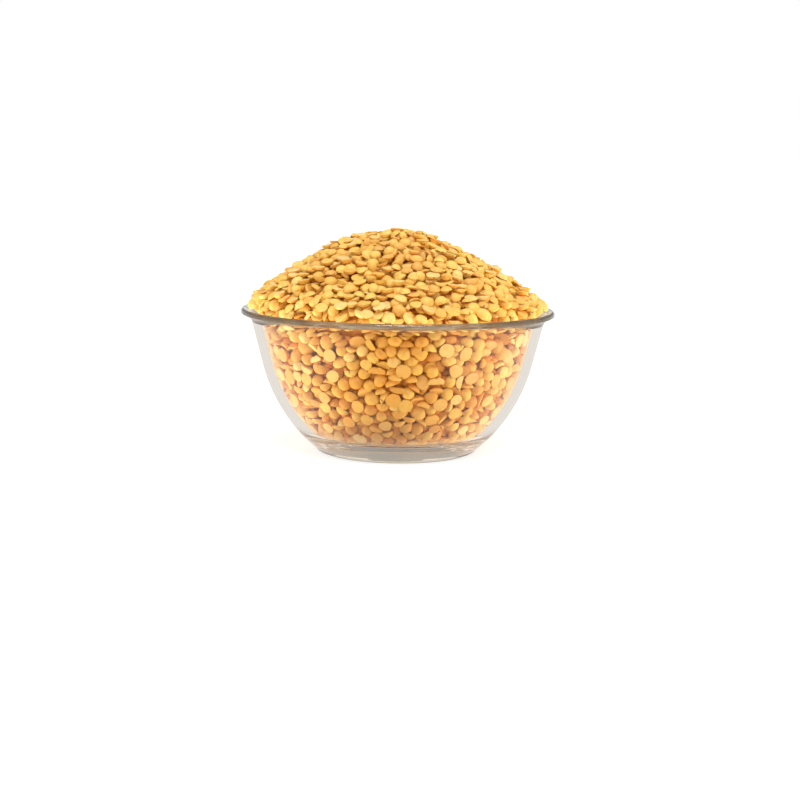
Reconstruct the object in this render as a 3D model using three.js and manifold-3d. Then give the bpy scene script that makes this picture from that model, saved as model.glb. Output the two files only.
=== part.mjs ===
// A clear glass bowl heaped with toor dal, which is dry split pigeon peas.
// Millimetres, +Z up, with the origin at the centre of the bowl's underside.

import * as THREE from 'three';
import { mergeVertices } from 'three/addons/utils/BufferGeometryUtils.js';
import Module from 'manifold-3d';

const { degToRad, lerp, smoothstep } = THREE.MathUtils;

// Bowl
const RIM_RADIUS = 70;
const BOWL_HEIGHT = 64.2;
const WALL = 4;
const LIP = 2.6; // thickness of the lip, which the wall thins to along the bend
const BASE_THICKNESS = 8;
const WALL_TAPER = degToRad(14.2); // lean of the straight upper wall, from the vertical
const FLARE_RADIUS = 5; // outside of the bend that turns the wall out into the lip
const FLARE_END = degToRad(80); // lean of the wall where the lip ends, from the vertical
const BELLY_TOP = 39.5; // height where the straight wall becomes the round belly
const BELLY_RADIUS = 73;
const HEEL_RADIUS = 5; // between the belly and the underside
const FLOOR_FILLET = 12; // between the inside floor and the wall
const RECESS_RADIUS = 27; // shallow hollow in the underside, which leaves a ring to stand on
const RECESS_DEPTH = 2.5;
const BOWL_SIDES = 48;
const BEND_STEPS = 3; // of the inside of the bend
const ARC_TOLERANCE = 0.16; // most that a chord of a profile's arc may stand off the arc

// Heap: its outline falls from the top to the rim by a power of the radius
const HEAP_TOP = 100.8;
const HEAP_FALL = 33;
const HEAP_RADIUS = 67.5;
const HEAP_POWER = 1.58; // 1 is a cone and 2 a parabola
const CORE_DEPTH = 2.4; // from the outline down to the core that the peas sit on
const CORE_EDGE = 64; // radius where the core's top turns down to the lip
const CORE_LIP_LEAN = degToRad(64); // where on the lip's bend the core ends
const CORE_STEPS = 7;
const CORE_EDGE_STEPS = 3;
const CORE_SIDES = BOWL_SIDES / 2; // so that the core's corners face the bowl's
const DAL_GAP = 0.3; // clear of the glass

// Split pea: a low dome over a flat face
const PEA_RADIUS = 2.9;
const PEA_HEIGHT = 2.4;
const PEA_SHOULDER = 0.72; // share of the radius where the dome turns over
const PEA_ROOT = 2; // point under the flat face that holds the pea in the core
const PEA_LIFT = 0.25; // flat face above the core's surface
const PEA_SIDES = 6;
const PEA_COUNT = 215;
const PEA_SPREAD = 63.5; // radius that the peas' centres are spread over
const PEA_TILT = degToRad(16);
const PEA_SIZE_RANGE = 0.12; // share that a pea may be larger or smaller
const PEA_JITTER = 1.1;
const SEED = 20;

const MERGE_DISTANCE = 1e-3;

const GOLDEN_ANGLE = Math.PI * (3 - Math.sqrt(5));

const wasm = await Module();
wasm.setup();

// Points of an arc in the (radius, height) plane, from one angle to the other
function arc(centre, radius, from, to) {
  const curve = new THREE.ArcCurve(centre.x, centre.y, radius, from, to, to < from);
  const largestStep = 2 * Math.acos(1 - ARC_TOLERANCE / radius);
  return curve.getPoints(Math.ceil(Math.abs(to - from) / largestStep));
}

function offset(point, angle, distance) {
  return new THREE.Vector2(point.x + distance * Math.cos(angle), point.y + distance * Math.sin(angle));
}

// Centre of the bend that turns the wall out, worked back from the round edge of the lip
const lipCentre = new THREE.Vector2(RIM_RADIUS - LIP / 2, BOWL_HEIGHT - LIP / 2);
const flareCentre = offset(lipCentre, -FLARE_END, FLARE_RADIUS + LIP / 2);

// The straight wall runs down from the bend to the belly, whose arc it touches
const wallTop = offset(flareCentre, Math.PI - WALL_TAPER, FLARE_RADIUS);
const wallFoot = new THREE.Vector2(
  wallTop.x - (wallTop.y - BELLY_TOP) * Math.tan(WALL_TAPER),
  BELLY_TOP,
);
const bellyCentre = offset(wallFoot, Math.PI - WALL_TAPER, BELLY_RADIUS);

// Centre of a rounding between a belly arc and a level plane under it
function roundingCentre(bellyRadius, level, radius) {
  const height = level + radius;
  const reach = bellyRadius - radius;
  return new THREE.Vector2(bellyCentre.x + Math.sqrt(reach ** 2 - (height - bellyCentre.y) ** 2), height);
}

// Angle on the belly where such a rounding meets it
function meetingAngle(centre) {
  return Math.atan2(centre.y - bellyCentre.y, centre.x - bellyCentre.x);
}

// Inside of the bend from the wall up to a lean on it, where the glass thins to the lip
function insideBend(gap, endLean) {
  const points = [];
  for (let step = 0; step <= BEND_STEPS; step += 1) {
    const lean = lerp(WALL_TAPER, endLean, step / BEND_STEPS);
    const thickness = lerp(WALL, LIP, smoothstep(lean, WALL_TAPER, FLARE_END));
    points.push(offset(flareCentre, Math.PI - lean, FLARE_RADIUS + thickness + gap));
  }
  return points;
}

// Inside of the bowl from its axis up to a lean on the lip's bend, moved in by a gap
function insideProfile(gap, endLean) {
  const bellyRadius = BELLY_RADIUS - WALL - gap;
  const floor = BASE_THICKNESS + gap;
  const fillet = roundingCentre(bellyRadius, floor, FLOOR_FILLET);
  const meeting = meetingAngle(fillet);
  return [
    new THREE.Vector2(0, floor),
    ...arc(fillet, FLOOR_FILLET, -Math.PI / 2, meeting),
    ...arc(bellyCentre, bellyRadius, meeting, -WALL_TAPER).slice(1),
    ...insideBend(gap, endLean),
  ];
}

function outsideProfile() {
  const heel = roundingCentre(BELLY_RADIUS, 0, HEEL_RADIUS);
  const meeting = meetingAngle(heel);
  return [
    new THREE.Vector2(0, RECESS_DEPTH),
    new THREE.Vector2(RECESS_RADIUS - 2 * RECESS_DEPTH, RECESS_DEPTH),
    new THREE.Vector2(RECESS_RADIUS, 0),
    ...arc(heel, HEEL_RADIUS, -Math.PI / 2, meeting),
    ...arc(bellyCentre, BELLY_RADIUS, meeting, -WALL_TAPER).slice(1),
    ...arc(flareCentre, FLARE_RADIUS, Math.PI - WALL_TAPER, Math.PI - FLARE_END),
    ...arc(lipCentre, LIP / 2, -FLARE_END, 0).slice(1),
    ...arc(lipCentre, LIP / 2, 0, Math.PI / 2).slice(1),
  ];
}

// Turns a profile about the +Z axis
function turned(profile, sides) {
  return new THREE.LatheGeometry(profile, sides).rotateX(Math.PI / 2);
}

function bowlGeometry() {
  const inside = insideProfile(0, FLARE_END).reverse();
  return turned([...outsideProfile(), ...inside], BOWL_SIDES);
}

function coreHeight(radius) {
  return HEAP_TOP - CORE_DEPTH - HEAP_FALL * (radius / HEAP_RADIUS) ** HEAP_POWER;
}

function coreSlope(radius) {
  return (HEAP_FALL * HEAP_POWER * (radius / HEAP_RADIUS) ** (HEAP_POWER - 1)) / HEAP_RADIUS;
}

// The core fills the bowl, rounds over at the lip and rises to the heap's top
function coreGeometry() {
  const inside = insideProfile(DAL_GAP, CORE_LIP_LEAN);
  const lipEnd = inside.at(-1);
  const topEdge = new THREE.Vector2(CORE_EDGE, coreHeight(CORE_EDGE));
  const corner = new THREE.Vector2(lipEnd.x, (lipEnd.y + topEdge.y) / 2);
  const edge = new THREE.QuadraticBezierCurve(lipEnd, corner, topEdge).getPoints(CORE_EDGE_STEPS);
  const top = [];
  for (let step = 1; step <= CORE_STEPS; step += 1) {
    const radius = CORE_EDGE * (1 - step / CORE_STEPS);
    top.push(new THREE.Vector2(radius, coreHeight(radius)));
  }
  return turned([...inside, ...edge.slice(1), ...top], CORE_SIDES);
}

// Seeded draws from 0 to 1, by the mulberry32 generator
function makeDraw(seed) {
  let state = seed;
  return () => {
    state = (state + 0x6d2b79f5) | 0;
    let mixed = Math.imul(state ^ (state >>> 15), state | 1);
    mixed ^= mixed + Math.imul(mixed ^ (mixed >>> 7), mixed | 61);
    return ((mixed ^ (mixed >>> 14)) >>> 0) / 2 ** 32;
  };
}

function peaGeometry() {
  const profile = [
    new THREE.Vector2(0, -PEA_ROOT),
    new THREE.Vector2(PEA_RADIUS, 0),
    new THREE.Vector2(PEA_RADIUS * PEA_SHOULDER, PEA_HEIGHT * PEA_SHOULDER),
    new THREE.Vector2(0, PEA_HEIGHT),
  ];
  return turned(profile, PEA_SIDES);
}

// Place of one pea: a sunflower spiral spreads the peas evenly, and draws unsettle each one
function peaPlacement(index, draw) {
  const spread = (range) => (2 * draw() - 1) * range;
  const angle = index * GOLDEN_ANGLE;
  const radius = Math.abs(PEA_SPREAD * Math.sqrt((index + 0.5) / PEA_COUNT) + spread(PEA_JITTER));
  const lean = Math.atan(coreSlope(radius)) + spread(PEA_TILT);
  const sideLean = spread(PEA_TILT);
  const size = 1 + spread(PEA_SIZE_RANGE);
  const place = new THREE.Matrix4().makeRotationZ(angle);
  place.multiply(new THREE.Matrix4().makeTranslation(radius, 0, coreHeight(radius)));
  place.multiply(new THREE.Matrix4().makeRotationY(lean));
  place.multiply(new THREE.Matrix4().makeRotationX(sideLean));
  place.multiply(new THREE.Matrix4().makeTranslation(0, 0, PEA_LIFT));
  place.multiply(new THREE.Matrix4().makeRotationZ(draw() * Math.PI));
  place.multiply(new THREE.Matrix4().makeScale(size, size * (1 + spread(PEA_SIZE_RANGE)), size));
  return place;
}

function toSolid(geometry) {
  geometry.deleteAttribute('normal');
  geometry.deleteAttribute('uv');
  const merged = mergeVertices(geometry, MERGE_DISTANCE);
  const vertProperties = new Float32Array(merged.attributes.position.array);
  const triVerts = new Uint32Array(merged.index.array);
  return new wasm.Manifold(new wasm.Mesh({ numProp: 3, vertProperties, triVerts }));
}

function toGeometry(solid) {
  const mesh = solid.getMesh();
  const geometry = new THREE.BufferGeometry();
  geometry.setAttribute('position', new THREE.BufferAttribute(mesh.vertProperties, 3));
  geometry.setIndex(new THREE.BufferAttribute(mesh.triVerts, 1));
  geometry.computeVertexNormals();
  return geometry;
}

// The heap is one solid: the core with the peas that show fused on
function heapGeometry() {
  const draw = makeDraw(SEED);
  let heap = toSolid(coreGeometry());
  for (let index = 0; index < PEA_COUNT; index += 1) {
    const pea = peaGeometry().applyMatrix4(peaPlacement(index, draw));
    heap = heap.add(toSolid(pea));
  }
  return toGeometry(heap);
}

function piece(name, geometry, material) {
  const mesh = new THREE.Mesh(geometry, material);
  mesh.name = name;
  return mesh;
}

const glass = new THREE.MeshStandardMaterial({
  color: 0xdde6e2,
  roughness: 0.05,
  metalness: 0,
  transparent: true,
  opacity: 0.35,
});
const dal = new THREE.MeshStandardMaterial({ color: 0xe6a84b, roughness: 0.65, metalness: 0 });

const dish = new THREE.Group();
dish.add(piece('bowl', bowlGeometry(), glass));
dish.add(piece('dal_heap', heapGeometry(), dal));

export default dish;
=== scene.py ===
"""A clear glass bowl heaped with toor dal, dry split pigeon peas, dressed over its frame.

Shapes are worked out in millimetres and made in metres, +Z is up, and the origin is the centre of
the bowl's underside. The peas are laid down one at a time, and each falls on what is already there.
Their meshes are a little fuller than the forms that fall, which closes the gaps between them.
"""

import math

import bpy
import numpy as np
from mathutils import Matrix, Vector

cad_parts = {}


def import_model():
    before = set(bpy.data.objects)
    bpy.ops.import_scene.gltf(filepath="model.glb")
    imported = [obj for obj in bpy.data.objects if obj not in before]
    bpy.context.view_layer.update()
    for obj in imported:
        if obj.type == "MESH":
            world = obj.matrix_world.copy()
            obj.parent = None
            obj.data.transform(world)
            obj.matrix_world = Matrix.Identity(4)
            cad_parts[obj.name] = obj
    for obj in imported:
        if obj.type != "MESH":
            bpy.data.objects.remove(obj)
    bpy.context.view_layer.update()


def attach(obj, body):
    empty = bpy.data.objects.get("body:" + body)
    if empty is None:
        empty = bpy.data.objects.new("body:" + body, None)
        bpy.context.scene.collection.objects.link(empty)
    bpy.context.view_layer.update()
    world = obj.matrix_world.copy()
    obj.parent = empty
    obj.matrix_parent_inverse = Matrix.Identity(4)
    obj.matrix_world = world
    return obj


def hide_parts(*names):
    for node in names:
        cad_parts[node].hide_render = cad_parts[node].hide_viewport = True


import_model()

MM = 0.001
UP = np.array([0.0, 0.0, 1.0])
ROUND = 2 * math.pi
rng = np.random.default_rng(7)

# Bowl, in millimetres
RIM_RADIUS = 70.0
BOWL_HEIGHT = 64.2
WALL = 4.0
LIP = 2.6  # thickness of the lip, which the wall thins to along the bend
BASE_THICKNESS = 8.0
WALL_TAPER = math.radians(14.2)  # lean of the straight upper wall, from the vertical
FLARE_RADIUS = 5.0  # outside of the bend that turns the wall out into the lip
FLARE_END = math.radians(80)  # lean of the wall where the lip ends, from the vertical
BELLY_TOP = 39.5  # height where the straight wall becomes the round belly
BELLY_RADIUS = 73.0
HEEL_RADIUS = 5.0  # between the belly and the underside
FLOOR_FILLET = 12.0  # between the inside floor and the wall
RECESS_RADIUS = 27.0  # shallow hollow in the underside, which leaves a ring to stand on
RECESS_DEPTH = 2.5
BOWL_SIDES = 160
PROFILE_STEP = 0.8  # most between two points of a profile

# Heap, in millimetres
HEAP_TOP = 100.8
HEAP_FALL = 33.0
HEAP_RADIUS = 67.5
HEAP_POWER = 1.58  # 1 is a cone and 2 a parabola
HEAP_UNEVEN = 0.9  # most that the outline swells or sinks
SWELL_X = (11.0, 3.7)  # length and start of the slow waves along each axis
SWELL_Y = (13.0, -0.4)
RIPPLE = (6.1, 7.3)  # lengths of the quicker waves along both axes
RIPPLE_SHARE = 0.6
HEAP_LEAN = 1.6  # more on the left and less on the right
SLOPE_STEP = 3.0
HEAP_DEPTH = 7.0  # laid with peas, down to the core
HEAP_REACH = 65.5
HEAP_REACH_WAVE = 1.5
HEAP_MARGIN = 2.0  # of the ground past the rim
HEAP_ROOM = 1.5  # least gap under the outline that takes another pea
HEAP_PROUD = 0.2  # most that a pea may stand above the outline
HEAP_SHOWN = 3.2  # depth of what shows
LIE_ON_SLOPE = 0.3  # share of the slope's lean that a pea takes on
LIP_GAP = 0.35
CORE_CLEAR = 6.2  # from the glass to the core
CORE_RADIUS = 56.0
CORE_SIDES = 120
CORE_STEP = 2.0
CORE_RINGS = 40

# Peas at the glass and on the bowl's floor, in millimetres
WALL_DEPTH = 3.3  # laid with peas, in from the glass
WALL_LEAN_END = math.radians(16)  # where on the lip's bend the wall's grid ends
WALL_PEA_TOP = 58.0  # highest level of the peas at the glass, under the lip
WALL_PICK_TOP = 56.0  # highest level where one is dropped
OUT_OF_REACH = 30.0  # height that keeps peas off a place
WALL_SHOWN = 1.2  # depth of what shows
WALL_PULL = 0.3  # how much a pea at the glass gives up to lie lower down it
WALL_ORDER = 0.03  # how much places lower down are filled first
FLOOR_REACH = 29.5
FLOOR_DEPTH = 2.4
BED_MARGIN = 6.0
BED_OVERLAP = 4.0  # of the floor's bed up the foot of the wall
GLASS_GAP = 0.3
TOUCH_GAP = 0.1

# One split pea: sizes in millimetres, and shares of its half-length, half-width and height
PEA_RADIUS = 2.85
PEA_RADIUS_SPREAD = 0.28
PEA_LEAST_RADIUS = 2.2
WALL_PEA_HEIGHT = (0.68, 0.92)
HEAP_PEA_HEIGHT = (0.48, 0.74)
WHOLE_LENGTH = (0.85, 1.0)
BROKEN_LENGTH = (0.55, 0.7)
BROKEN_LIMIT = 0.8  # a shorter one is broken
BROKEN_SHARE = 0.1
BROKEN_CUT = -0.3
PEA_WAVES = ((2, 0.05), (3, 0.05), (5, 0.025))  # waves round its outline, and their depth
DOME_END = math.radians(88)
DOME_POWER = 1.15
DOME_SHIFT = 0.14  # most that the top stands off the middle
FACE_REACH = 0.92
FACE_BULGE = 0.03
SIDE_CUT = (0.7, 1.4)  # where one side is worn flat, or over 1 not at all
CENTROID = 0.375  # height of the middle of half an ellipsoid
SHARP_EDGE = math.radians(48)
FINE_PEA = (12, 4)  # points round a pea, and rings from its top to its edge
COARSE_PEA = (8, 2)
MAP_MIDDLES = (0.26, 0.74)  # of the dome and of the flat face, in a pea's cell of the map
MAP_REACH = 0.24

# How peas are laid: leans in degrees, and steps in millimetres
FLAT_LEAN = 24
LOOSE_LEAN = 50
ANY_LEAN = 60
MOST_LEAN = 82
FLAT_SHARE = 0.5  # of the heap's peas, those that lie flat
FACING_UP_TO = 0.45  # of the draws at the glass, those that lie flat against it
LEVEL_UP_TO = 0.8  # and the ones after them that lie level
LEVEL_WAY = np.array([0.0, 1.0, 0.25])
PEA_TRIES = 48
NUDGE = 1.8
FINE_NUDGE = 0.4
FINE_LEAN = 0.12
PLACE_TRIES = 24
PATIENCE = 90  # misses in a row that end the laying
CELL = 0.3  # of the grids of heights

# Looks: dal colours on a scale of 255, with the place of each on a ramp, and waves of noise a metre
WHITE = (1.0, 1.0, 1.0, 1.0)
BLACK = (0.0, 0.0, 0.0, 1.0)
GLASS_IOR = 1.5
GLASS_TINT = (0.65, 0.51, 0.27, 1.0)
GLASS_DENSITY = 10.0
DAL_TONES = (
    (0.0, (222, 143, 52)),
    (0.2, (238, 169, 66)),
    (0.55, (245, 190, 85)),
    (0.85, (249, 203, 100)),
    (1.0, (253, 222, 142)),
)
PALE_FACE = (253, 215, 140)
PALE_DRAW = (0.2, 1.0)  # draws from which a face turns paler
FACE_FADE = (0.06, 0.0)  # heights where the dome gives way to the flat face
FACE_RIM = (218, 141, 52)
RIM_BAND = (0.72, 0.95)  # shares of the outline where the rim comes in
RIM_STRENGTH = 0.2
MOTTLE = (226, 148, 54)
MOTTLE_WAVES = 620.0
MOTTLE_BAND = (0.45, 0.75)
MOTTLE_STRENGTH = 0.35
SCAR = (128, 74, 34)
SCAR_PLACE = 0.93  # share of the half-length
SCAR_FADE = (0.3, 0.12)
SCAR_DRAW = (0.72, 0.8)  # draws from which a pea has one
SCAR_STRENGTH = 0.7
SHEEN_WAVES = 900.0
SHEEN_BAND = (0.3, 0.7)
ROUGHNESS = (0.42, 0.6)
GLOW_SHARE = 0.3  # of the light that goes under the skin
GLOW_REACH = (1.0, 0.45, 0.12)  # in millimetres
GRAIN_WAVES = 1300.0
GRAIN_DETAIL = 4.0
GRAIN_STRENGTH = 0.25
GRAIN_DEPTH = 0.0004
CORE_TONES = ((0.35, (190, 108, 32)), (0.65, (226, 146, 56)))
CORE_WAVES = 260.0

# Stage, in metres
CAMERA_DISTANCE = 0.70
CAMERA_ELEVATION = math.radians(8.85)
CAMERA_ROLL = math.radians(0.8)
AIM = Vector((0.0015, 0.0, 0.0226))
LENS = 69.8
SENSOR = 36.0
FLOOR_SIZE = 60.0
FLOOR_DROP = 0.0002
FLOOR_GREY = (0.43, 0.43, 0.43, 1.0)
FLOOR_GLOW = 0.78
FRONT_CARD = ((-0.08, -0.2), (0.08, -0.045))  # two corners of it
FRONT_CARD_GLOW = (0.3, 0.195, 0.085, 1.0)
CARD_SIDES = 96
CARD_INNER = 0.045  # of the ring that the glass mirrors
CARD_OUTER = 0.8
CARD_TURN_ASIDE = (0.04, 0.1)  # distances from the middle where its colour turns
CARD_TURN_BEHIND = (-0.11, -0.01)
CARD_FRONT = (0.3, 0.17, 0.04, 1.0)
CARD_SIDE = (0.82, 0.78, 0.73, 1.0)
DISC_HOLE = 0.001
FOOT_SHADE_RADIUS = 0.036
FOOT_SHADE = (0.28, 0.28, 0.28, 1.0)
UNDER_SHADE_RADIUS = 0.06
UNDER_SHADE_DROP = 0.002
FAR_BAND_LOW = (3.0, 0.36)  # radius and height of the two edges of a grey band
FAR_BAND_HIGH = (3.0, 0.7)
WORLD_GREY = (0.5, 0.5, 0.5, 1.0)
WORLD_RISE = (0.2, 0.23)  # sines of the angles where the horizon's white ends
LIGHT_BOUNCES = 40


def srgb(red, green, blue):
    """A colour given as the eye sees it, on a scale of 255, as linear light."""
    shares = np.array([red, green, blue]) / 255
    linear = np.where(shares <= 0.04045, shares / 12.92, ((shares + 0.055) / 1.055) ** 2.4)
    return (*linear, 1.0)


def srgb_stops(tones):
    """Places and colours of a ramp, with the colours as linear light."""
    return [(place, srgb(*colour)) for place, colour in tones]


# Bowl profile, as points of radius and height

def arc(centre, radius, start, end, step=PROFILE_STEP):
    count = max(2, math.ceil(abs(end - start) * radius / step))
    angles = np.linspace(start, end, count + 1)
    return np.column_stack([centre[0] + radius * np.cos(angles), centre[1] + radius * np.sin(angles)])


def line(start, end, step=PROFILE_STEP):
    """Points of a straight stretch, without its first one."""
    count = max(1, math.ceil(math.dist(start, end) / step))
    return np.linspace(start, end, count + 1)[1:]


def offset(point, angle, distance):
    return np.array([point[0] + distance * math.cos(angle), point[1] + distance * math.sin(angle)])


LIP_CENTRE = np.array([RIM_RADIUS - LIP / 2, BOWL_HEIGHT - LIP / 2])
FLARE_CENTRE = offset(LIP_CENTRE, -FLARE_END, FLARE_RADIUS + LIP / 2)
WALL_TOP = offset(FLARE_CENTRE, math.pi - WALL_TAPER, FLARE_RADIUS)
WALL_FOOT = np.array([WALL_TOP[0] - (WALL_TOP[1] - BELLY_TOP) * math.tan(WALL_TAPER), BELLY_TOP])
BELLY_CENTRE = offset(WALL_FOOT, math.pi - WALL_TAPER, BELLY_RADIUS)


def rounding(belly_radius, level, radius):
    """Centre of a rounding between a belly arc and a level plane, and the angle where it meets the arc."""
    height = level + radius
    reach = belly_radius - radius
    centre = np.array([BELLY_CENTRE[0] + math.sqrt(reach**2 - (height - BELLY_CENTRE[1]) ** 2), height])
    return centre, math.atan2(centre[1] - BELLY_CENTRE[1], centre[0] - BELLY_CENTRE[0])


def inside_bend(end_lean, step):
    """Inside of the bend at the top of the wall, where the glass thins to the lip."""
    count = max(2, math.ceil((end_lean - WALL_TAPER) * (FLARE_RADIUS + WALL) / step))
    leans = np.linspace(WALL_TAPER, end_lean, count + 1)
    share = (leans - WALL_TAPER) / (FLARE_END - WALL_TAPER)
    reach = FLARE_RADIUS + WALL + (LIP - WALL) * share**2 * (3 - 2 * share)
    return FLARE_CENTRE + reach[:, None] * np.column_stack([-np.cos(leans), np.sin(leans)])


def inside_profile(end_lean, step=PROFILE_STEP):
    """Inside of the bowl from the edge of its flat floor up to a lean on the lip's bend."""
    belly_radius = BELLY_RADIUS - WALL
    fillet, meeting = rounding(belly_radius, BASE_THICKNESS, FLOOR_FILLET)
    lower = np.vstack([
        arc(fillet, FLOOR_FILLET, -math.pi / 2, meeting, step),
        arc(BELLY_CENTRE, belly_radius, meeting, -WALL_TAPER, step)[1:],
    ])
    bend = inside_bend(end_lean, step)
    return np.vstack([lower, line(lower[-1], bend[0], step), bend[1:]])


def outside_profile():
    heel, meeting = rounding(BELLY_RADIUS, 0.0, HEEL_RADIUS)
    recess_edge = np.array([RECESS_RADIUS - 2 * RECESS_DEPTH, RECESS_DEPTH])
    lower = np.vstack([
        [[0.0, RECESS_DEPTH]],
        line([0.0, RECESS_DEPTH], recess_edge, 4 * PROFILE_STEP),
        line(recess_edge, [RECESS_RADIUS, 0.0]),
        line([RECESS_RADIUS, 0.0], [heel[0], 0.0]),
        arc(heel, HEEL_RADIUS, -math.pi / 2, meeting, PROFILE_STEP / 2)[1:],
        arc(BELLY_CENTRE, BELLY_RADIUS, meeting, -WALL_TAPER)[1:],
    ])
    bend = arc(FLARE_CENTRE, FLARE_RADIUS, math.pi - WALL_TAPER, math.pi - FLARE_END, PROFILE_STEP / 2)
    lip = arc(LIP_CENTRE, LIP / 2, -FLARE_END, math.pi - FLARE_END, PROFILE_STEP / 3)
    return np.vstack([lower, line(lower[-1], bend[0]), bend[1:], lip[1:]])


# Heap outline

def heap_height(x, y):
    """Height of the heap's outline over a place, a little uneven and leaning to the left."""
    radius = np.hypot(x, y)
    swell = np.sin(x / SWELL_X[0] + SWELL_X[1]) * np.cos(y / SWELL_Y[0] + SWELL_Y[1])
    swell = swell + RIPPLE_SHARE * np.sin(x / RIPPLE[0] - y / RIPPLE[1])
    uneven = HEAP_UNEVEN * swell / (1 + RIPPLE_SHARE)
    lean = HEAP_LEAN * np.sin(math.pi * x * np.abs(x) / HEAP_RADIUS**2)
    return HEAP_TOP - HEAP_FALL * (radius / HEAP_RADIUS) ** HEAP_POWER + uneven - lean


def heap_reach(x, y):
    """How far out the heap lies on the lip: least between the front, the back and the sides."""
    return HEAP_REACH + HEAP_REACH_WAVE * np.cos(4 * np.arctan2(y, x))


def heap_slope(x, y):
    """How fast the heap's outline rises along X and along Y at a place."""
    rise_x = (heap_height(x + SLOPE_STEP, y) - heap_height(x - SLOPE_STEP, y)) / (2 * SLOPE_STEP)
    rise_y = (heap_height(x, y + SLOPE_STEP) - heap_height(x, y - SLOPE_STEP)) / (2 * SLOPE_STEP)
    return np.array([rise_x, rise_y])


# How one pea falls

def unit(vectors):
    return vectors / np.linalg.norm(vectors, axis=-1, keepdims=True)


def turns_about(normals):
    """Rotation matrices whose third axis is each normal, spun by a random angle about it."""
    helper = np.where(np.abs(normals[:, 2:3]) < 0.9, [[0.0, 0.0, 1.0]], [[1.0, 0.0, 0.0]])
    first = unit(np.cross(helper, normals))
    second = np.cross(normals, first)
    spin = rng.uniform(0, ROUND, len(normals))[:, None]
    along = np.cos(spin) * first + np.sin(spin) * second
    return np.stack([along, np.cross(normals, along), normals], axis=2)


def spans(turns, size, dx, dy):
    """Lowest and highest point of half an ellipsoid over each place of a patch, and where it lies there.

    turns holds one rotation for each try, size its half-lengths and its height, and dx and dy the
    places, counted from the middle of the flat face.
    """
    form = np.einsum("kij,j,klj->kil", turns, 1 / np.square(size), turns)[:, :, :, None, None]
    square = form[:, 2, 2]
    half = form[:, 0, 2] * dx + form[:, 1, 2] * dy
    rest = form[:, 0, 0] * dx**2 + 2 * form[:, 0, 1] * dx * dy + form[:, 1, 1] * dy**2 - 1
    inside = half**2 - square * rest
    root = np.sqrt(np.maximum(inside, 0))
    low = (-half - root) / square
    high = (-half + root) / square
    normal = turns[:, :, 2][:, :, None, None]
    steep = np.where(np.abs(normal[:, 2]) < 1e-3, 1e-3, normal[:, 2])
    face = -(normal[:, 0] * dx + normal[:, 1] * dy) / steep
    low = np.where(steep > 0, np.maximum(low, face), low)
    high = np.where(steep < 0, np.minimum(high, face), high)
    return low, high, (inside > 0) & (high > low)


def draw_size(low, high):
    """Half-length, half-width and height of a new pea, the height between two shares of the half-width."""
    radius = max(PEA_LEAST_RADIUS, rng.normal(PEA_RADIUS, PEA_RADIUS_SPREAD))
    length = rng.uniform(*(BROKEN_LENGTH if rng.random() < BROKEN_SHARE else WHOLE_LENGTH))
    return radius * np.array([length, 1.0, rng.uniform(low, high)])


def draw_normals(base, lean_degrees, one_side=False):
    """Tries for the way a pea faces: near the base direction, its dome to either side, or all to one."""
    degrees = np.abs(rng.normal(0, lean_degrees, PEA_TRIES)).clip(0, MOST_LEAN)
    leans = np.tan(np.radians(degrees))[:, None]
    ways = rng.uniform(0, ROUND, PEA_TRIES)[:, None]
    first = unit(np.cross(base, [0.0, 1.0, 0.0] if abs(base[1]) < 0.9 else [1.0, 0.0, 0.0]))
    second = np.cross(base, first)
    normals = unit(base + leans * (np.cos(ways) * first + np.sin(ways) * second))
    return normals * rng.choice([-1.0, 1.0], (1 if one_side else PEA_TRIES, 1))


def settle(ground, dx, dy, normals, size, slope=(0.0, 0.0)):
    """Drops a pea on a patch of ground in several ways and keeps the one that lies lowest.

    Each try has its own place within NUDGE and its own way to face, and a second round of tries
    stays near the best of the first. A try that lies wholly off the patch is never kept. slope is the
    ground's general rise, which is left out when the tries are compared. Returns the pea's rotation,
    its place with the height of its flat face's middle, and its underside and top over the patch.
    """
    nudges = rng.uniform(-NUDGE, NUDGE, (PEA_TRIES, 2))
    for last_round in (False, True):
        turns = turns_about(normals)
        low, high, there = spans(turns, size, dx - nudges[:, 0, None, None], dy - nudges[:, 1, None, None])
        heights = np.where(there, ground - low, -np.inf).max(axis=(1, 2))
        heights = np.where(there.any(axis=(1, 2)), heights, np.inf)
        middles = heights - nudges @ slope + CENTROID * size[2] * turns[:, 2, 2]
        best = int(np.argmin(middles))
        if not last_round:
            normals = unit(normals[best] + rng.normal(0, FINE_LEAN, normals.shape))
            nudges = (nudges[best] + rng.normal(0, FINE_NUDGE, nudges.shape)).clip(-NUDGE, NUDGE)
    under = np.where(there[best], low[best] + heights[best], np.inf)
    top = np.where(there[best], high[best] + heights[best], -np.inf)
    return turns[best], np.array([*nudges[best], heights[best]]), under, top


class Field:
    """Ground that peas fall on, as heights over a square grid centred on the axis."""

    def __init__(self, reach):
        self.axis = np.arange(-reach, reach + CELL / 2, CELL)
        self.reach = reach
        self.x, self.y = np.meshgrid(self.axis, self.axis, indexing="ij")
        self.height = np.zeros_like(self.x)

    def index(self, places):
        return np.rint((places + self.reach) / CELL).astype(int).clip(0, len(self.axis) - 1)

    def window(self, x, y, reach):
        """Slices of the cells near a place, and the places of those cells counted from it."""
        start = self.index(np.array([x, y]) - reach)
        end = self.index(np.array([x, y]) + reach) + 1
        cells = (slice(start[0], end[0]), slice(start[1], end[1]))
        return cells, self.x[cells] - x, self.y[cells] - y

    def at(self, x, y):
        return self.height[tuple(self.index(np.stack([x, y])))]

    def raise_to(self, cells, top):
        self.height[cells] = np.maximum(self.height[cells], top)


def draw_disc(reach):
    """Places spread evenly over a disc."""
    radius = reach * np.sqrt(rng.random(PLACE_TRIES))
    angle = rng.uniform(0, ROUND, PLACE_TRIES)
    return radius * np.cos(angle), radius * np.sin(angle)


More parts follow.
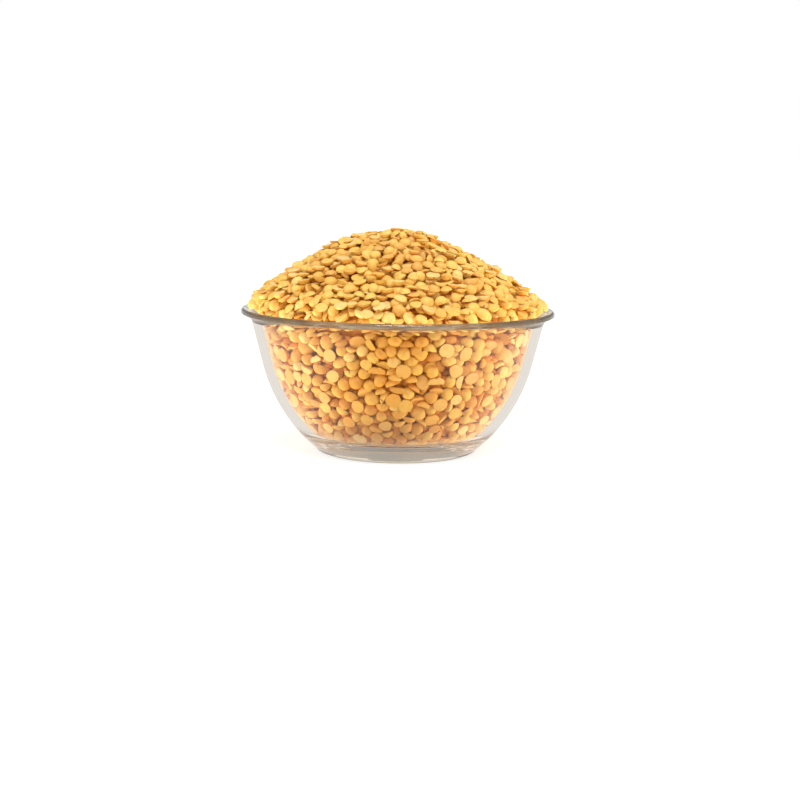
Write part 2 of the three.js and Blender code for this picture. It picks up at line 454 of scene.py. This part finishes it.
def record(peas, zone, centre, turn, size):
    peas.append({"zone": zone, "centre": centre, "turn": turn, "size": size})


# The bed on the bowl's floor

def lay_floor(peas):
    """A thin bed on the bowl's flat floor. Returns its heights above the floor."""
    bed = Field(FLOOR_REACH + BED_MARGIN)
    misses = 0
    while misses < PATIENCE:
        x, y = draw_disc(FLOOR_REACH)
        heights = bed.at(x, y)
        pick = int(np.argmin(heights))
        if heights[pick] > FLOOR_DEPTH:
            misses += 1
            continue
        misses = 0
        size = draw_size(*WALL_PEA_HEIGHT)
        cells, dx, dy = bed.window(x[pick], y[pick], size[1] + NUDGE)
        turn, place, _, top = settle(bed.height[cells], dx, dy, draw_normals(UP, FLAT_LEAN), size)
        bed.raise_to(cells, top)
        record(peas, "floor", place + [x[pick], y[pick], BASE_THICKNESS + GLASS_GAP], turn, size)
    return bed


# The peas against the glass

class WallGrid:
    """The inside of the glass unrolled: angle round the axis, and distance up the wall.

    What is higher than WALL_PEA_TOP starts out of reach.
    """

    COLUMNS = 1100

    def __init__(self):
        points = inside_profile(WALL_LEAN_END, CELL)
        steps = np.linalg.norm(np.diff(points, axis=0), axis=1)
        way = np.concatenate([[0], np.cumsum(steps)])
        self.up = np.arange(0, way[-1], CELL)
        self.radius = np.interp(self.up, way, points[:, 0])
        self.level = np.interp(self.up, way, points[:, 1])
        slope = np.unwrap(np.arctan2(np.gradient(self.level), np.gradient(self.radius)))
        self.tangent = np.column_stack([np.cos(slope), np.sin(slope)])
        self.bend_up = np.gradient(slope, self.up)
        self.bend_round = np.sin(slope) / self.radius
        self.turn_step = ROUND / self.COLUMNS
        self.height = np.zeros((self.COLUMNS, len(self.up)))
        self.height[:, self.level > WALL_PEA_TOP] = OUT_OF_REACH

    def window(self, column, row, reach):
        """Cells near a place, the places of those cells, and how far the glass curves up there."""
        wide = math.ceil(reach / (self.radius[row] * self.turn_step))
        tall = math.ceil(reach / CELL)
        columns = np.arange(column - wide, column + wide + 1)
        rows = np.arange(max(0, row - tall), min(len(self.up), row + tall + 1))
        dx = -(columns - column)[:, None] * self.turn_step * self.radius[row] + 0 * rows[None, :]
        dy = (rows - row)[None, :] * CELL + 0 * columns[:, None]
        curve = (self.bend_round[row] * dx**2 + self.bend_up[row] * dy**2) / 2
        return np.ix_(columns % self.COLUMNS, rows), dx, dy, curve

    def place(self, column, row):
        """Point on the glass, and the axes round, up and in from there."""
        angle = column * self.turn_step
        outward = np.array([math.cos(angle), math.sin(angle), 0.0])
        round_axis = np.array([math.sin(angle), -math.cos(angle), 0.0])
        along, rise = self.tangent[row]
        up_axis = along * outward + rise * UP
        in_axis = along * UP - rise * outward
        foot = self.radius[row] * outward + self.level[row] * UP
        return foot, np.column_stack([round_axis, up_axis, in_axis])

    def start_on(self, bed):
        """Takes over the bed where it reaches the foot of the wall."""
        near = self.up < BED_OVERLAP
        angles = np.arange(self.COLUMNS) * self.turn_step
        x = np.outer(np.cos(angles), self.radius[near])
        y = np.outer(np.sin(angles), self.radius[near])
        self.height[:, near] = bed.at(x, y)


def draw_wall_normals():
    """Tries for a pea at the glass: flat against it, lying level, or any way."""
    kind = rng.random()
    if kind < FACING_UP_TO:
        return draw_normals(UP, FLAT_LEAN)
    if kind < LEVEL_UP_TO:
        return draw_normals(unit(LEVEL_WAY), FLAT_LEAN)
    return draw_normals(UP, ANY_LEAN)


def lay_wall(peas, bed):
    """Peas against the inside of the glass, falling outwards on it."""
    wall = WallGrid()
    wall.start_on(bed)
    room = wall.radius * (wall.level < WALL_PICK_TOP)
    share = np.cumsum(room) / room.sum()
    misses = 0
    while misses < PATIENCE:
        columns = rng.integers(0, wall.COLUMNS, PLACE_TRIES)
        rows = np.searchsorted(share, rng.random(PLACE_TRIES))
        heights = wall.height[columns, rows]
        pick = int(np.argmin(heights + WALL_ORDER * wall.up[rows]))
        if heights[pick] > WALL_DEPTH:
            misses += 1
            continue
        misses = 0
        size = draw_size(*WALL_PEA_HEIGHT)
        cells, dx, dy, curve = wall.window(columns[pick], rows[pick], size[1] + NUDGE)
        ground = wall.height[cells] + curve
        turn, place, under, top = settle(ground, dx, dy, draw_wall_normals(), size, (0.0, -WALL_PULL))
        wall.height[cells] = np.maximum(wall.height[cells], top - curve)
        foot, axes = wall.place(columns[pick], rows[pick])
        zone = "wall" if (under - curve).min() < WALL_SHOWN else "wall_back"
        record(peas, zone, foot + axes @ (place + GLASS_GAP * UP), axes @ turn, size)


# The top of the heap

def heap_ground(peas):
    """Ground that the top of the heap falls on: the core, the glass and the peas at the wall."""
    ground = Field(RIM_RADIUS + HEAP_MARGIN)
    radius = np.hypot(ground.x, ground.y)
    profile = inside_profile(FLARE_END, CELL)
    rise = np.gradient(profile[:, 1], profile[:, 0])
    ground.height = np.interp(radius, profile[:, 0], profile[:, 1] + LIP_GAP * np.hypot(1, rise))
    core = heap_height(ground.x, ground.y) - HEAP_DEPTH
    ground.raise_to(radius < CORE_RADIUS, core[radius < CORE_RADIUS])
    for pea in peas:
        x, y, level = pea["centre"]
        cells, dx, dy = ground.window(x, y, pea["size"][1])
        _, high, there = spans(pea["turn"][None], pea["size"], dx, dy)
        ground.raise_to(cells, np.where(there[0], high[0] + level, -np.inf))
    return ground


def lay_heap(peas):
    """Peas of the heap's top, falling straight down until they fill its outline."""
    ground = heap_ground(peas)
    misses = 0
    while misses < PATIENCE:
        x, y = draw_disc(HEAP_REACH + HEAP_REACH_WAVE)
        room = heap_height(x, y) - ground.at(x, y)
        pick = int(np.argmax(room))
        misses += 1
        if room[pick] < HEAP_ROOM:
            continue
        size = draw_size(*HEAP_PEA_HEIGHT)
        cells, dx, dy = ground.window(x[pick], y[pick], size[1] + NUDGE)
        slope = heap_slope(x[pick], y[pick])
        base = unit(np.array([*(-LIE_ON_SLOPE * slope), 1.0]))
        lean = FLAT_LEAN if rng.random() < FLAT_SHARE else LOOSE_LEAN
        normals = draw_normals(base, lean, one_side=True)
        turn, place, _, top = settle(ground.height[cells], dx, dy, normals, size, slope)
        place[:2] += x[pick], y[pick]
        outline = heap_height(*place[:2])
        if np.hypot(*place[:2]) > heap_reach(*place[:2]) - size[1] / 2 or top.max() > outline + HEAP_PROUD:
            continue
        misses = 0
        ground.raise_to(cells, top)
        record(peas, "heap" if top.max() > outline - HEAP_SHOWN else "heap_back", place, turn, size)


# Pea meshes

def pea_rings(steps):
    """Share of the outline and of the height for each ring of points, from the dome to the flat face."""
    angles = np.linspace(0, DOME_END, steps + 1)[1:]
    dome = np.column_stack([np.sin(angles), np.cos(angles) ** DOME_POWER])
    return np.vstack([dome, [[FACE_REACH, 0.0]]])


def pea_places(count, segments, steps):
    """Each pea's own points, as shares of its half-length, half-width and height."""
    rings = pea_rings(steps)
    angles = np.arange(segments) * ROUND / segments
    outline = np.ones((count, segments))
    for waves, depth in PEA_WAVES:
        phase = rng.uniform(0, ROUND, (count, 1))
        outline -= depth * rng.random((count, 1)) * (1 + np.cos(waves * angles + phase))
    reach = outline[:, None, :] * rings[:, 0][None, :, None]
    height = np.broadcast_to(rings[:, 1][None, :, None], reach.shape)
    points = np.stack([reach * np.cos(angles), reach * np.sin(angles), height], axis=3)
    poles = np.broadcast_to([[0.0, 0.0, 1.0], [0.0, 0.0, -FACE_BULGE]], (count, 2, 3))
    places = np.concatenate([points.reshape(count, -1, 3), poles], axis=1)
    places[..., :2] += rng.uniform(-DOME_SHIFT, DOME_SHIFT, (count, 1, 2)) * places[..., 2:] ** 2
    places[..., 1] = np.minimum(places[..., 1], rng.uniform(*SIDE_CUT, (count, 1)))
    return places


def pea_faces(segments, steps):
    """Triangles of one pea, and which of them belong to its flat face."""
    step = np.arange(segments)
    after = (step + 1) % segments
    top, bottom = (steps + 1) * segments, (steps + 1) * segments + 1
    faces = [np.column_stack([np.full(segments, top), step, after])]
    for ring in range(steps):
        upper, lower = ring * segments, (ring + 1) * segments
        faces.append(np.column_stack([upper + step, lower + step, lower + after]))
        faces.append(np.column_stack([upper + step, lower + after, upper + after]))
    last = steps * segments
    faces.append(np.column_stack([np.full(segments, bottom), last + after, last + step]))
    flat = np.zeros(len(faces) * segments, bool)
    flat[-3 * segments:] = True
    return np.vstack(faces), flat


def triangle_mesh(name, points, faces):
    """A smooth mesh from arrays of points, in millimetres, and triangles."""
    mesh = bpy.data.meshes.new(name)
    mesh.vertices.add(len(points))
    mesh.vertices.foreach_set("co", (points * MM).astype(np.float32).ravel())
    mesh.loops.add(faces.size)
    mesh.loops.foreach_set("vertex_index", faces.astype(np.int32).ravel())
    mesh.polygons.add(len(faces))
    mesh.polygons.foreach_set("loop_start", np.arange(0, faces.size, 3, dtype=np.int32))
    mesh.update(calc_edges=True)
    mesh.shade_smooth()
    mesh.set_sharp_from_angle(angle=SHARP_EDGE)
    return mesh


def add_piece(name, mesh, material, node):
    """Puts a mesh in the scene as a piece that stands for a node."""
    piece = bpy.data.objects.new(name, mesh)
    bpy.context.scene.collection.objects.link(piece)
    mesh.materials.append(material)
    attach(piece, "root")
    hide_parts(node)
    return piece


def vector_attribute(mesh, name, values):
    layer = mesh.attributes.new(name, "FLOAT_VECTOR", "POINT")
    layer.data.foreach_set("vector", values.astype(np.float32).ravel())


def bake_map(mesh, places, faces, flat):
    """A texture map with one cell for each pea, its dome in one corner and its flat face in the other."""
    count = len(places)
    side = math.ceil(math.sqrt(count))
    middle = np.where(flat, MAP_MIDDLES[1], MAP_MIDDLES[0]).repeat(3)
    local = MAP_REACH * places[:, faces.ravel(), :2] + middle[None, :, None]
    cells = np.stack(np.divmod(np.arange(count), side), axis=1)[:, None, :]
    layer = mesh.uv_layers.new(name="OFBake")
    layer.data.foreach_set("uv", ((cells + local) / side).astype(np.float32).ravel())


def clear_of_glass(points):
    """Moves points that would reach into the glass back to just inside it, by the shorter way."""
    profile = inside_profile(FLARE_END, CELL)
    radius = np.hypot(points[:, 0], points[:, 1])
    wide = radius - np.interp(points[:, 2], profile[:, 1], profile[:, 0]) + TOUCH_GAP
    low = np.interp(radius, profile[:, 0], profile[:, 1]) - points[:, 2] + TOUCH_GAP
    inward = (low > 0) & (wide > 0) & (wide < low)
    lift = (low > 0) & ~inward
    points[inward, :2] *= (1 - wide[inward] / radius[inward])[:, None]
    points[lift, 2] += low[lift]
    return points


def add_peas(name, peas, material, detail, fill):
    """One joined mesh of many peas, each fuller by fill than the form that fell."""
    segments, steps = detail
    places = pea_places(len(peas), segments, steps)
    sizes = np.array([pea["size"] for pea in peas])
    broken = sizes[:, 0] < BROKEN_LIMIT * sizes[:, 1]
    places[broken, :, 0] = np.maximum(places[broken, :, 0], BROKEN_CUT)
    turns = np.array([pea["turn"] for pea in peas])
    centres = np.array([pea["centre"] for pea in peas])
    points = np.einsum("nij,nvj->nvi", turns, fill * places * sizes[:, None, :]) + centres[:, None, :]
    points = clear_of_glass(points.reshape(-1, 3))
    faces, flat = pea_faces(segments, steps)
    starts = np.arange(len(peas)) * places.shape[1]
    mesh = triangle_mesh(name, points, (faces + starts[:, None, None]).reshape(-1, 3))
    vector_attribute(mesh, "pea_place", places.reshape(-1, 3))
    vector_attribute(mesh, "pea_draw", np.repeat(rng.random((len(peas), 3)), places.shape[1], axis=0))
    bake_map(mesh, places, faces, flat)
    return add_piece(name, mesh, material, "dal_heap")


# Turned meshes

def turned_mesh(name, profile, sides):
    """A closed surface turned about the axis from a profile that starts and ends on it."""
    angles = np.arange(sides) * ROUND / sides
    rings = profile[1:-1]
    x = np.outer(rings[:, 0], np.cos(angles))
    y = np.outer(rings[:, 0], np.sin(angles))
    z = np.repeat(rings[:, 1:2], sides, axis=1)
    points = np.stack([x, y, z], axis=2).reshape(-1, 3)
    start, end = len(points), len(points) + 1
    points = np.vstack([points, [[0, 0, profile[0, 1]], [0, 0, profile[-1, 1]]]])
    step = np.arange(sides)
    after = (step + 1) % sides
    last = (len(rings) - 1) * sides
    faces = [np.column_stack([np.full(sides, start), after, step])]
    for ring in range(len(rings) - 1):
        lower, upper = ring * sides, (ring + 1) * sides
        faces.append(np.column_stack([lower + step, lower + after, upper + after]))
        faces.append(np.column_stack([lower + step, upper + after, upper + step]))
    faces.append(np.column_stack([np.full(sides, end), last + step, last + after]))
    return triangle_mesh(name, points, np.vstack(faces))


def add_bowl(material):
    inside = inside_profile(FLARE_END)[::-1]
    floor = line(inside[-1], [0.0, BASE_THICKNESS], 4 * PROFILE_STEP)
    mesh = turned_mesh("glass_bowl", np.vstack([outside_profile(), inside[1:], floor]), BOWL_SIDES)
    bowl = add_piece("glass_bowl", mesh, material, "bowl")
    bowl.visible_shadow = False
    bowl.visible_diffuse = False


def add_core(material):
    """The dim inside of the heap, seen only in the gaps between the peas."""
    wall = inside_profile(WALL_LEAN_END, CORE_STEP)
    slope = np.arctan2(np.gradient(wall[:, 1]), np.gradient(wall[:, 0]))
    wall = wall + CORE_CLEAR * np.column_stack([-np.sin(slope), np.cos(slope)])
    wall = wall[wall[:, 0] < CORE_RADIUS]
    radius = np.linspace(CORE_RADIUS, 0, CORE_RINGS)
    top = np.column_stack([radius, heap_height(radius, 0 * radius) - HEAP_DEPTH])
    profile = np.vstack([[[0.0, BASE_THICKNESS + CORE_CLEAR]], wall, top])
    add_piece("dal_core", turned_mesh("dal_core", profile, CORE_SIDES), material, "dal_heap")


# Materials

class Shading:
    """A new material with its Principled shader, and short ways to add nodes to it."""

    def __init__(self, name):
        self.material = bpy.data.materials.new(name)
        self.material.use_nodes = True
        self.nodes = self.material.node_tree.nodes
        self.shader = self.nodes["Principled BSDF"]

    def set(self, **values):
        """Sets sockets of the shader, named with _ for a space."""
        for name, value in values.items():
            self.shader.inputs[name.replace("_", " ")].default_value = value

    def link(self, start, end):
        self.material.node_tree.links.new(start, end)

    def attribute(self, name):
        """The three parts of a vector attribute of the mesh."""
        node = self.nodes.new("ShaderNodeAttribute")
        node.attribute_name = name
        parts = self.nodes.new("ShaderNodeSeparateXYZ")
        self.link(node.outputs["Vector"], parts.inputs[0])
        return tuple(parts.outputs)

    def math(self, operation, first, second=0.0):
        node = self.nodes.new("ShaderNodeMath")
        node.operation = operation
        for socket, value in zip(node.inputs, (first, second)):
            if isinstance(value, (int, float)):
                socket.default_value = value
            else:
                self.link(value, socket)
        return node.outputs[0]

    def range(self, value, start, end, low=0.0, high=1.0):
        """Maps start to low and end to high, smoothly and no further."""
        node = self.nodes.new("ShaderNodeMapRange")
        node.interpolation_type = "SMOOTHSTEP"
        self.link(value, node.inputs["Value"])
        for name, number in (("From Min", start), ("From Max", end), ("To Min", low), ("To Max", high)):
            node.inputs[name].default_value = number
        return node.outputs["Result"]

    def noise(self, scale, detail=3.0):
        """Noise over the object, of about scale waves a metre."""
        place = self.nodes.new("ShaderNodeTexCoord")
        node = self.nodes.new("ShaderNodeTexNoise")
        node.inputs["Scale"].default_value = scale
        node.inputs["Detail"].default_value = detail
        self.link(place.outputs["Object"], node.inputs["Vector"])
        return node.outputs["Fac"]

    def ramp(self, value, stops):
        node = self.nodes.new("ShaderNodeValToRGB")
        elements = node.color_ramp.elements
        for place, colour in stops[1:-1]:
            elements.new(place).color = colour
        for element, (place, colour) in ((elements[0], stops[0]), (elements[-1], stops[-1])):
            element.position = place
            element.color = colour
        self.link(value, node.inputs["Fac"])
        return node.outputs["Color"]

    def mix(self, share, first, second):
        """Goes from the first colour to a fixed second one by a share."""
        node = self.nodes.new("ShaderNodeMixRGB")
        if isinstance(share, float):
            node.inputs["Fac"].default_value = share
        else:
            self.link(share, node.inputs["Fac"])
        self.link(first, node.inputs["Color1"])
        node.inputs["Color2"].default_value = second
        return node.outputs["Color"]

    def bump(self, height, strength, distance):
        node = self.nodes.new("ShaderNodeBump")
        node.inputs["Strength"].default_value = strength
        node.inputs["Distance"].default_value = distance
        self.link(height, node.inputs["Height"])
        self.link(node.outputs["Normal"], self.shader.inputs["Normal"])


def glass_material():
    glass = Shading("clear_glass")
    glass.set(Base_Color=WHITE, Roughness=0.0, IOR=GLASS_IOR, Transmission_Weight=1.0)
    absorb = glass.nodes.new("ShaderNodeVolumeAbsorption")
    absorb.inputs["Color"].default_value = GLASS_TINT
    absorb.inputs["Density"].default_value = GLASS_DENSITY
    glass.link(absorb.outputs[0], glass.nodes["Material Output"].inputs["Volume"])
    return glass.material


def dal_scar(dal, x, y, draw):
    """How much of a brown scar shows at a place: at one end, and only on some peas."""
    along = dal.math("ABSOLUTE", dal.math("SUBTRACT", x, SCAR_PLACE))
    near = dal.range(dal.math("ADD", dal.math("ABSOLUTE", y), along), *SCAR_FADE)
    return dal.math("MULTIPLY", near, dal.range(draw, *SCAR_DRAW, 0.0, SCAR_STRENGTH))


def dal_material(name, pale_share, cast_share, cast):
    """Golden split peas: each has its own tone, a paler flat face with a rim, and mottled skin.

    pale_share is the most that a flat face goes to a paler tone, more in a lit copy. cast is a colour
    that all of them lean to, by cast_share: painted light or shade, which makes lit and shaded copies.
    """
    dal = Shading(name)
    tone, scar_draw, pale_draw = dal.attribute("pea_draw")
    x, y, z = dal.attribute("pea_place")
    colour = dal.ramp(tone, srgb_stops(DAL_TONES))
    colour = dal.mix(cast_share, colour, cast)
    reach = dal.math("SQRT", dal.math("ADD", dal.math("MULTIPLY", x, x), dal.math("MULTIPLY", y, y)))
    flat = dal.range(z, *FACE_FADE)
    pale = dal.math("MULTIPLY", flat, dal.range(pale_draw, *PALE_DRAW, 0.0, pale_share))
    colour = dal.mix(pale, colour, srgb(*PALE_FACE))
    rim = dal.math("MULTIPLY", flat, dal.range(reach, *RIM_BAND, 0.0, RIM_STRENGTH))
    colour = dal.mix(rim, colour, srgb(*FACE_RIM))
    mottle = dal.range(dal.noise(MOTTLE_WAVES), *MOTTLE_BAND, 0.0, MOTTLE_STRENGTH)
    colour = dal.mix(mottle, colour, srgb(*MOTTLE))
    colour = dal.mix(dal_scar(dal, x, y, scar_draw), colour, srgb(*SCAR))
    dal.link(colour, dal.shader.inputs["Base Color"])
    dal.link(dal.range(dal.noise(SHEEN_WAVES), *SHEEN_BAND, *ROUGHNESS), dal.shader.inputs["Roughness"])
    dal.set(Subsurface_Weight=GLOW_SHARE, Subsurface_Radius=GLOW_REACH, Subsurface_Scale=MM)
    dal.bump(dal.noise(GRAIN_WAVES, GRAIN_DETAIL), GRAIN_STRENGTH, GRAIN_DEPTH)
    return dal.material


def core_material():
    core = Shading("dal_shade")
    shade = core.ramp(core.noise(CORE_WAVES), srgb_stops(CORE_TONES))
    core.link(shade, core.shader.inputs["Base Color"])
    core.set(Roughness=0.9)
    return core.material


# Stage

def add_object(name, data):
    thing = bpy.data.objects.new(name, data)
    bpy.context.scene.collection.objects.link(thing)
    return thing


def add_camera():
    data = bpy.data.cameras.new("camera")
    data.lens = LENS
    data.sensor_width = SENSOR
    camera = add_object("camera", data)
    bpy.context.scene.camera = camera
    back = Vector((0.0, -math.cos(CAMERA_ELEVATION), math.sin(CAMERA_ELEVATION)))
    turn = back.to_track_quat("Z", "Y").to_matrix().to_4x4() @ Matrix.Rotation(CAMERA_ROLL, 4, "Z")
    camera.matrix_world = Matrix.Translation(AIM + CAMERA_DISTANCE * back) @ turn


def add_rectangle(name, low, high, height):
    """A level rectangle between two corners."""
    corners = [(low[0], low[1]), (high[0], low[1]), (high[0], high[1]), (low[0], high[1])]
    mesh = bpy.data.meshes.new(name)
    mesh.from_pydata([(x, y, height) for x, y in corners], [], [(0, 1, 2, 3)])
    return add_object(name, mesh)


def add_floor():
    """A pale floor that glows a little, as a light table does."""
    floor = add_rectangle("floor", (-FLOOR_SIZE, -FLOOR_SIZE), (FLOOR_SIZE, FLOOR_SIZE), -FLOOR_DROP)
    pale = Shading("pale_floor")
    pale.set(Base_Color=FLOOR_GREY, Roughness=0.9, Specular_IOR_Level=0.0)
    pale.set(Emission_Color=WHITE, Emission_Strength=FLOOR_GLOW)
    floor.data.materials.append(pale.material)
    floor.visible_shadow = False


def add_ring(name, start, end):
    """A ring about the bowl's axis that the camera never sees straight.

    start and end are the radius and the height of its two edges.
    """
    angles = np.arange(CARD_SIDES) * ROUND / CARD_SIDES
    way = np.column_stack([np.cos(angles), np.sin(angles)])
    points = [(*(radius * point), height) for radius, height in (start, end) for point in way]
    faces = [
        (step, (step + 1) % CARD_SIDES, (step + 1) % CARD_SIDES + CARD_SIDES, step + CARD_SIDES)
        for step in range(CARD_SIDES)
    ]
    mesh = bpy.data.meshes.new(name)
    mesh.from_pydata(points, [], faces)
    ring = add_object(name, mesh)
    ring.visible_camera = False
    ring.visible_diffuse = False
    ring.visible_shadow = False
    return ring


def add_disc(name, radius, height):
    return add_ring(name, (DISC_HOLE, height), (radius, height))


def glowing(name, colour):
    glow = Shading(name)
    glow.set(Base_Color=BLACK, Roughness=1.0, Specular_IOR_Level=0.0)
    glow.set(Emission_Color=colour, Emission_Strength=1.0)
    return glow


def add_golden_card():
    """What the glass mirrors instead of the white floor: golden before the bowl, pale grey beside it."""
    golden = glowing("golden_card", CARD_FRONT)
    place = golden.nodes.new("ShaderNodeTexCoord")
    parts = golden.nodes.new("ShaderNodeSeparateXYZ")
    golden.link(place.outputs["Object"], parts.inputs[0])
    aside = golden.range(golden.math("ABSOLUTE", parts.outputs["X"]), *CARD_TURN_ASIDE)
    behind = golden.range(parts.outputs["Y"], *CARD_TURN_BEHIND)
    turn = golden.math("MAXIMUM", aside, behind)
    colour = golden.ramp(turn, [(0.0, CARD_FRONT), (1.0, CARD_SIDE)])
    golden.link(colour, golden.shader.inputs["Emission Color"])
    card = add_ring("golden_card", (CARD_INNER, FLOOR_DROP), (CARD_OUTER, FLOOR_DROP))
    card.data.materials.append(golden.material)


def add_shades():
    """A grey band far off that only the glass sees, the dark under the bowl, and a stop for low light."""
    far_band = add_ring("far_band", FAR_BAND_LOW, FAR_BAND_HIGH)
    far_band.data.materials.append(glowing("far_band", WORLD_GREY).material)
    foot_shade = add_disc("foot_shade", FOOT_SHADE_RADIUS, -FLOOR_DROP / 2)
    foot_shade.visible_diffuse = True
    foot_shade.data.materials.append(glowing("foot_shade", FOOT_SHADE).material)
    under_shade = add_disc("under_shade", UNDER_SHADE_RADIUS, -UNDER_SHADE_DROP)
    under_shade.visible_shadow = True


def add_front_card():
    """Golden light thrown back from before the bowl."""
    card = add_rectangle("front_card", *FRONT_CARD, FLOOR_DROP / 2)
    card.data.materials.append(glowing("front_card", FRONT_CARD_GLOW).material)
    card.visible_camera = False
    card.visible_glossy = False
    card.visible_transmission = False
    card.visible_shadow = False


def add_light(name, azimuth, elevation, strength, angle, glints=False):
    """A soft light from far off, at angles in degrees from the camera's side and from level."""
    data = bpy.data.lights.new(name, "SUN")
    data.energy = strength
    data.angle = math.radians(angle)
    light = add_object(name, data)
    light.visible_glossy = glints
    light.visible_transmission = False
    turn, rise = math.radians(azimuth), math.radians(elevation)
    way = Vector((math.sin(turn) * math.cos(rise), -math.cos(turn) * math.cos(rise), math.sin(rise)))
    light.matrix_world = way.to_track_quat("Z", "Y").to_matrix().to_4x4()


def add_world():
    """White along the horizon and greyer above."""
    world = bpy.data.worlds.new("studio")
    bpy.context.scene.world = world
    world.use_nodes = True
    nodes, links = world.node_tree.nodes, world.node_tree.links
    place = nodes.new("ShaderNodeTexCoord")
    parts = nodes.new("ShaderNodeSeparateXYZ")
    ramp = nodes.new("ShaderNodeValToRGB")
    elements = ramp.color_ramp.elements
    for element, position, colour in zip(elements, WORLD_RISE, (WHITE, WORLD_GREY)):
        element.position = position
        element.color = colour
    links.new(place.outputs["Generated"], parts.inputs[0])
    links.new(parts.outputs["Z"], ramp.inputs["Fac"])
    links.new(ramp.outputs["Color"], nodes["Background"].inputs["Color"])


def set_light_paths():
    """Lets light find its way through thick glass."""
    scene = bpy.context.scene
    scene.view_settings.view_transform = "Standard"
    scene.cycles.max_bounces = LIGHT_BOUNCES
    scene.cycles.transmission_bounces = LIGHT_BOUNCES
    scene.cycles.glossy_bounces = LIGHT_BOUNCES
    scene.cycles.caustics_refractive = False


def add_dal():
    """Lays all the peas, then makes one piece of each zone, with its own look, detail and fullness.

    The looks are lit and shaded copies of one dal, whose colours are painted light and shade.
    """
    peas = []
    bed = lay_floor(peas)
    lay_wall(peas, bed)
    lay_heap(peas)
    # Painted light and shade: the open heap's copy is paler and yellower, as if lit. The copy at the glass
    # is more orange, and the copy for the peas behind those is deepest orange, as if in shade.
    lit_open_dal = dal_material("lit_open_dal", pale_share=0.85, cast_share=0.4, cast=srgb(248, 212, 112))
    glass_dal = dal_material("glass_dal", pale_share=0.35, cast_share=0.4, cast=srgb(243, 183, 86))
    shaded_deep_dal = dal_material("shaded_deep_dal", pale_share=0.2, cast_share=0.6, cast=srgb(248, 163, 56))
    for zone, material, detail, fill in (
        ("floor", glass_dal, FINE_PEA, 1.1),
        ("wall", glass_dal, FINE_PEA, 1.18),
        ("wall_back", shaded_deep_dal, COARSE_PEA, 1.1),
        ("heap", lit_open_dal, FINE_PEA, 1.06),
        ("heap_back", lit_open_dal, COARSE_PEA, 1.06),
    ):
        chosen = [pea for pea in peas if pea["zone"] == zone]
        add_peas(f"{zone}_peas", chosen, material, detail, fill)
    add_core(core_material())


add_camera()
add_dal()
add_bowl(glass_material())
add_floor()
add_golden_card()
add_shades()
add_front_card()
add_light("left_light", azimuth=-90, elevation=-45, strength=3.9, angle=40)
add_light("right_light", azimuth=92, elevation=-28, strength=3.3, angle=40)
add_light("top_light", azimuth=8, elevation=66, strength=2.08, angle=30, glints=True)
add_world()
set_light_paths()
